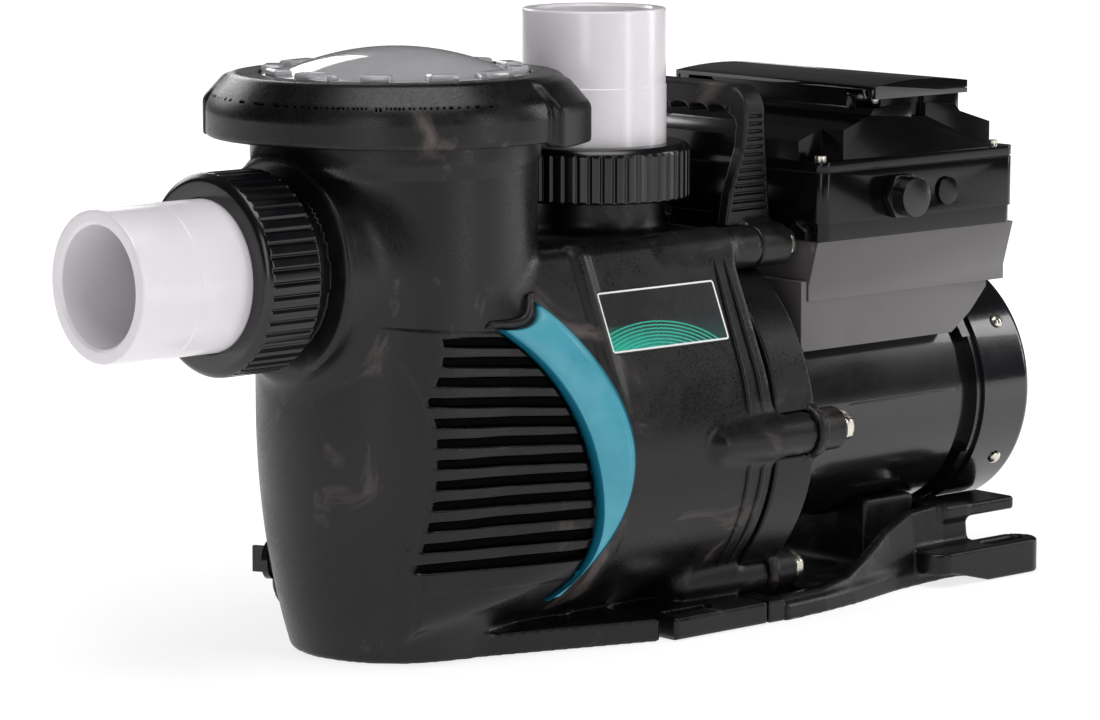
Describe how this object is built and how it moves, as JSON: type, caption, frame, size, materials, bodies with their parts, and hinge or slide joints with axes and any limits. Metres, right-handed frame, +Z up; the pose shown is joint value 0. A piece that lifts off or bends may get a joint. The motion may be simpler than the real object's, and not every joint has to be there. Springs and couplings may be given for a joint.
{
  "type": "pool pump",
  "caption": "Self-priming pool pump with clear-lid strainer pot, round casing on a foot, enclosed motor, drive box with flip-up keypad cover, and union ports.",
  "frame": {"origin": "on the floor, on the centre plane, straight under the discharge port's axis", "axes": "+Z up along the discharge port; +X from the strainer pot to the motor; -X out of the suction port"},
  "size_m": [0.6955, 0.261, 0.378],
  "materials": {
    "moulded_black": "black glass-filled moulded plastic, satin",
    "nut_black": "black plastic, semi-gloss",
    "white_pvc": "white pipe plastic, glossy",
    "teal_trim": "blue-green plastic, satin",
    "clear_plastic": "clear polycarbonate",
    "basket_white": "white moulded plastic",
    "seal_rubber": "black rubber",
    "badge": "printed label",
    "steel_bright": "stainless steel, nickel tone",
    "steel_plain": "ground steel",
    "core_steel": "stacked electrical steel sheet",
    "copper": "enamelled copper wire",
    "ceramic_seat": "ceramic, lapped",
    "wet_plastic": "glass-filled plastic",
    "motor_black": "black paint on cast aluminium, semi-gloss",
    "cover_black": "black paint on steel sheet, semi-gloss",
    "drive_black": "black plastic, semi-gloss",
    "flap_black": "black plastic, high gloss",
    "tray_paint": "dark grey paint on cast aluminium, gloss",
    "fan_plastic": "black plastic",
    "board": "circuit board with parts",
    "key_grey": "grey silicone key",
    "key_green": "green silicone key",
    "panel": "dark keypad sheet",
    "display": "display window"
  },
  "bodies": {
    "pump": {"tank_body": "moulded_black", "accent_trims": "teal_trim", "rating_badge": "badge", "suction_tailpiece": "white_pvc", "discharge_tailpiece": "white_pvc", "union_orings": "seal_rubber", "drain_orings": "seal_rubber", "seal_plate": "moulded_black", "carry_handle": "moulded_black", "casing_oring": "seal_rubber", "casing_bolts": "steel_bright", "casing_washers": "steel_bright", "casing_nuts": "steel_bright", "diffuser": "wet_plastic", "diffuser_oring": "seal_rubber", "diffuser_screws": "steel_bright", "seal_seat": "ceramic_seat", "motor_flange": "motor_black", "motor_housing": "motor_black", "rear_bell": "motor_black", "stator_core": "core_steel", "windings": "copper", "front_bearing": "steel_plain", "rear_bearing": "steel_plain", "fan_cover": "cover_black", "fan_cover_screws": "steel_bright", "motor_bolts": "steel_bright", "motor_foot": "moulded_black", "drive_adapter": "tray_paint", "drive_skirt": "tray_paint", "drive_box": "drive_black", "drive_gasket": "seal_rubber", "drive_lid": "drive_black", "drive_lid_screws": "steel_bright", "control_board": "board", "keypad_panel": "panel", "display_window": "display", "hinge_pins": "steel_plain", "conduit_plug": "nut_black", "conduit_blank": "drive_black"},
    "rotor": {"motor_shaft": "steel_plain", "rotor_core": "core_steel", "impeller": "wet_plastic", "impeller_screw": "steel_bright", "seal_head": "steel_plain", "fan": "fan_plastic"},
    "lid": {"clear_lid": "clear_plastic", "lid_oring": "seal_rubber"},
    "ring": {"lid_ring": "moulded_black"},
    "basket": {"strainer_basket": "basket_white"},
    "suction_union": {"suction_nut": "nut_black"},
    "discharge_union": {"discharge_nut": "nut_black"},
    "pot_plug": {"pot_drain_plug": "nut_black"},
    "casing_plug": {"casing_drain_plug": "nut_black"},
    "keypad_flap": {"keypad_cover": "flap_black"},
    "start_key": {"button_start": "key_green"},
    "up_key": {"button_up": "key_grey"},
    "down_key": {"button_down": "key_grey"},
    "menu_key": {"button_menu": "key_grey"}
  },
  "joints": [
    {"name": "shaft_spin", "type": "hinge", "parent": "pump", "child": "rotor", "pos_m": [0, 0, 0.117], "axis": [1, 0, 0], "continuous": true},
    {"name": "lid_lift", "type": "slide", "parent": "pump", "child": "lid", "axis": [0, 0, 1], "range_m": [0, 0.3]},
    {"name": "ring_turn", "type": "hinge", "parent": "lid", "child": "ring", "pos_m": [-0.16, 0, 0.33], "axis": [0, 0, 1], "range_deg": [0, 30]},
    {"name": "basket_lift", "type": "slide", "parent": "pump", "child": "basket", "axis": [0, 0, 1], "range_m": [0, 0.285]},
    {"name": "suction_nut_turn", "type": "hinge", "parent": "pump", "child": "suction_union", "pos_m": [-0.284, 0, 0.236], "axis": [-1, 0, 0], "continuous": true},
    {"name": "discharge_nut_turn", "type": "hinge", "parent": "pump", "child": "discharge_union", "pos_m": [0, 0, 0.278], "axis": [0, 0, 1], "continuous": true},
    {"name": "pot_drain_turn", "type": "hinge", "parent": "pump", "child": "pot_plug", "pos_m": [-0.1995, 0.06842, 0.046], "axis": [-0.5, 0.866, 0], "continuous": true},
    {"name": "casing_drain_turn", "type": "hinge", "parent": "pump", "child": "casing_plug", "pos_m": [-0.03, 0.0804, 0.02884], "axis": [0, 1, 0], "continuous": true},
    {"name": "keypad_open", "type": "hinge", "parent": "pump", "child": "keypad_flap", "pos_m": [0.16, 0, 0.318], "axis": [0, -1, 0], "range_deg": [0, 100]},
    {"name": "start_press", "type": "slide", "parent": "pump", "child": "start_key", "axis": [0, 0, -1], "range_m": [0, 0.0012], "stiffness_N_per_m": 400, "springref_m": -0.002},
    {"name": "up_press", "type": "slide", "parent": "pump", "child": "up_key", "axis": [0, 0, -1], "range_m": [0, 0.0012], "stiffness_N_per_m": 400, "springref_m": -0.002},
    {"name": "down_press", "type": "slide", "parent": "pump", "child": "down_key", "axis": [0, 0, -1], "range_m": [0, 0.0012], "stiffness_N_per_m": 400, "springref_m": -0.002},
    {"name": "menu_press", "type": "slide", "parent": "pump", "child": "menu_key", "axis": [0, 0, -1], "range_m": [0, 0.0012], "stiffness_N_per_m": 400, "springref_m": -0.002}
  ],
  "couplings": [
    {"joint": "basket_lift", "follows": "lid_lift", "ratio": 0.95}
  ]
}
